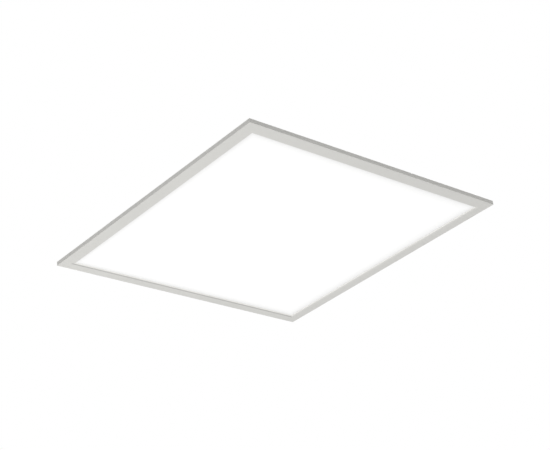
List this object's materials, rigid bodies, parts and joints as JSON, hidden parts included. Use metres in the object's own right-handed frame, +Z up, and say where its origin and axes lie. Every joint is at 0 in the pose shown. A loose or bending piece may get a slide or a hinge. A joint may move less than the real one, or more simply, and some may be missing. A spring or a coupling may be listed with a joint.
{
  "type": "led panel light",
  "caption": "Square slim ceiling light panel: mitred frame, edge-lit opal diffuser, ribbed back cover, driver box with hinged wiring door and flip-up grid tabs.",
  "frame": {"origin": "centre of the visible face, on the plane of the frame's underside", "axes": "+Z up into the ceiling void, X and Y along the sides; the wiring bay of the driver box is towards -X and the driver box is towards +Y"},
  "size_m": [0.595, 0.595, 0.0407],
  "materials": {
    "frame_paint": "satin powder coat on extruded aluminium",
    "cover_steel": "zinc-coated sheet, semi-matt, small spangle",
    "box_steel": "satin white powder coat on folded steel",
    "zinc_cast": "cast zinc, dull",
    "screw_steel": "zinc plated",
    "insert_steel": "yellow passivated",
    "earth_brass": "bright",
    "tab_steel": "galvanised sheet",
    "opal": "opal polystyrene, satin, lit from within",
    "guide_acrylic": "clear acrylic, polished, dotted on the back",
    "reflector_film": "white polyester film",
    "foam": "closed-cell polyethylene foam",
    "thermal_tape": "silicone tape",
    "led_board": "white solder mask on aluminium",
    "led_phosphor": "cured phosphor in a white moulding",
    "flat_wire": "flat two-core wire",
    "lead_sheath": "soft PVC",
    "grommet_rubber": "moulded, matt",
    "clip_nylon": "moulded nylon",
    "insulation": "insulating film, matt",
    "fr4": "green solder mask on glass epoxy",
    "ferrite": "sintered ferrite, dull",
    "winding": "yellow tape over enamelled wire",
    "choke": "enamelled copper winding on a ring",
    "film_box": "moulded case",
    "capacitor_sleeve": "shrunk sleeve",
    "sink_alu": "plain sheet",
    "chip_black": "moulded epoxy",
    "terminal_grey": "moulded polyamide",
    "button_orange": "moulded",
    "switch_black": "moulded",
    "slider_white": "moulded"
  },
  "bodies": {
    "panel": {"frame_front": "frame_paint", "frame_right": "frame_paint", "frame_back": "frame_paint", "frame_left": "frame_paint", "corner_keys": "zinc_cast", "corner_key_screws": "screw_steel", "diffuser_plate": "opal", "light_guide_plate": "guide_acrylic", "reflector_sheet": "reflector_film", "foam_pad": "foam", "thermal_tapes": "thermal_tape", "led_boards": "led_board", "led_packages": "led_phosphor", "link_wire": "flat_wire", "back_cover": "cover_steel", "cover_screws": "screw_steel", "suspension_inserts": "insert_steel", "lead_grommets": "grommet_rubber", "output_lead": "lead_sheath", "lead_clips": "clip_nylon", "driver_tray": "box_steel", "driver_studs": "screw_steel", "driver_nuts": "screw_steel", "driver_lid": "box_steel", "lid_screws": "screw_steel", "door_hinge_pin": "screw_steel", "insulation_sheet": "insulation", "board_spacers": "clip_nylon", "driver_board": "fr4", "board_screws": "screw_steel", "barrier": "insulation", "line_choke": "choke", "film_capacitor": "film_box", "capacitors": "capacitor_sleeve", "transformer_core": "ferrite", "transformer_coil": "winding", "heat_sink": "sink_alu", "power_transistors": "chip_black", "output_socket": "slider_white", "terminal_block": "terminal_grey", "selector_switch": "switch_black", "cable_grommet": "grommet_rubber", "blanking_plug": "grommet_rubber", "cord_saddle": "clip_nylon", "cord_clamp": "clip_nylon", "cord_clamp_screws": "screw_steel", "earth_screw": "earth_brass", "earth_washer": "earth_brass", "tab_brackets": "tab_steel", "tab_pins": "screw_steel"},
    "wiring_door": {"wiring_door": "box_steel"},
    "door_screw": {"door_screw": "screw_steel"},
    "release_button_1": {"release_button_1": "button_orange"},
    "release_button_2": {"release_button_2": "button_orange"},
    "release_button_3": {"release_button_3": "button_orange"},
    "selector_slider": {"selector_slider": "slider_white"},
    "grid_tab_1": {"grid_tab_1": "tab_steel"},
    "grid_tab_2": {"grid_tab_2": "tab_steel"},
    "grid_tab_3": {"grid_tab_3": "tab_steel"},
    "grid_tab_4": {"grid_tab_4": "tab_steel"}
  },
  "joints": [
    {"name": "door_hinge", "type": "hinge", "parent": "panel", "child": "wiring_door", "pos_m": [-0.081, 0.1922, 0.0373], "axis": [-1, 0, 0], "range_deg": [0, 110]},
    {"name": "door_screw_turn", "type": "hinge", "parent": "wiring_door", "child": "door_screw", "pos_m": [-0.081, 0.117, 0.0385], "axis": [0, 0, 1], "continuous": true},
    {"name": "release_button_1_press", "type": "slide", "parent": "panel", "child": "release_button_1", "axis": [0, 0, -1], "range_m": [0, 0.0015], "stiffness_N_per_m": 800},
    {"name": "release_button_2_press", "type": "slide", "parent": "panel", "child": "release_button_2", "axis": [0, 0, -1], "range_m": [0, 0.0015], "stiffness_N_per_m": 800},
    {"name": "release_button_3_press", "type": "slide", "parent": "panel", "child": "release_button_3", "axis": [0, 0, -1], "range_m": [0, 0.0015], "stiffness_N_per_m": 800},
    {"name": "selector_slide", "type": "slide", "parent": "panel", "child": "selector_slider", "axis": [0, 1, 0], "range_m": [-0.003, 0.003]},
    {"name": "grid_tab_1_fold", "type": "hinge", "parent": "panel", "child": "grid_tab_1", "pos_m": [0.2305, -0.291, 0.0096], "axis": [1, 0, 0], "range_deg": [0, 90]},
    {"name": "grid_tab_2_fold", "type": "hinge", "parent": "panel", "child": "grid_tab_2", "pos_m": [-0.2305, -0.291, 0.0096], "axis": [1, 0, 0], "range_deg": [0, 90]},
    {"name": "grid_tab_3_fold", "type": "hinge", "parent": "panel", "child": "grid_tab_3", "pos_m": [-0.2305, 0.291, 0.0096], "axis": [-1, 0, 0], "range_deg": [0, 90]},
    {"name": "grid_tab_4_fold", "type": "hinge", "parent": "panel", "child": "grid_tab_4", "pos_m": [0.2305, 0.291, 0.0096], "axis": [-1, 0, 0], "range_deg": [0, 90]}
  ]
}
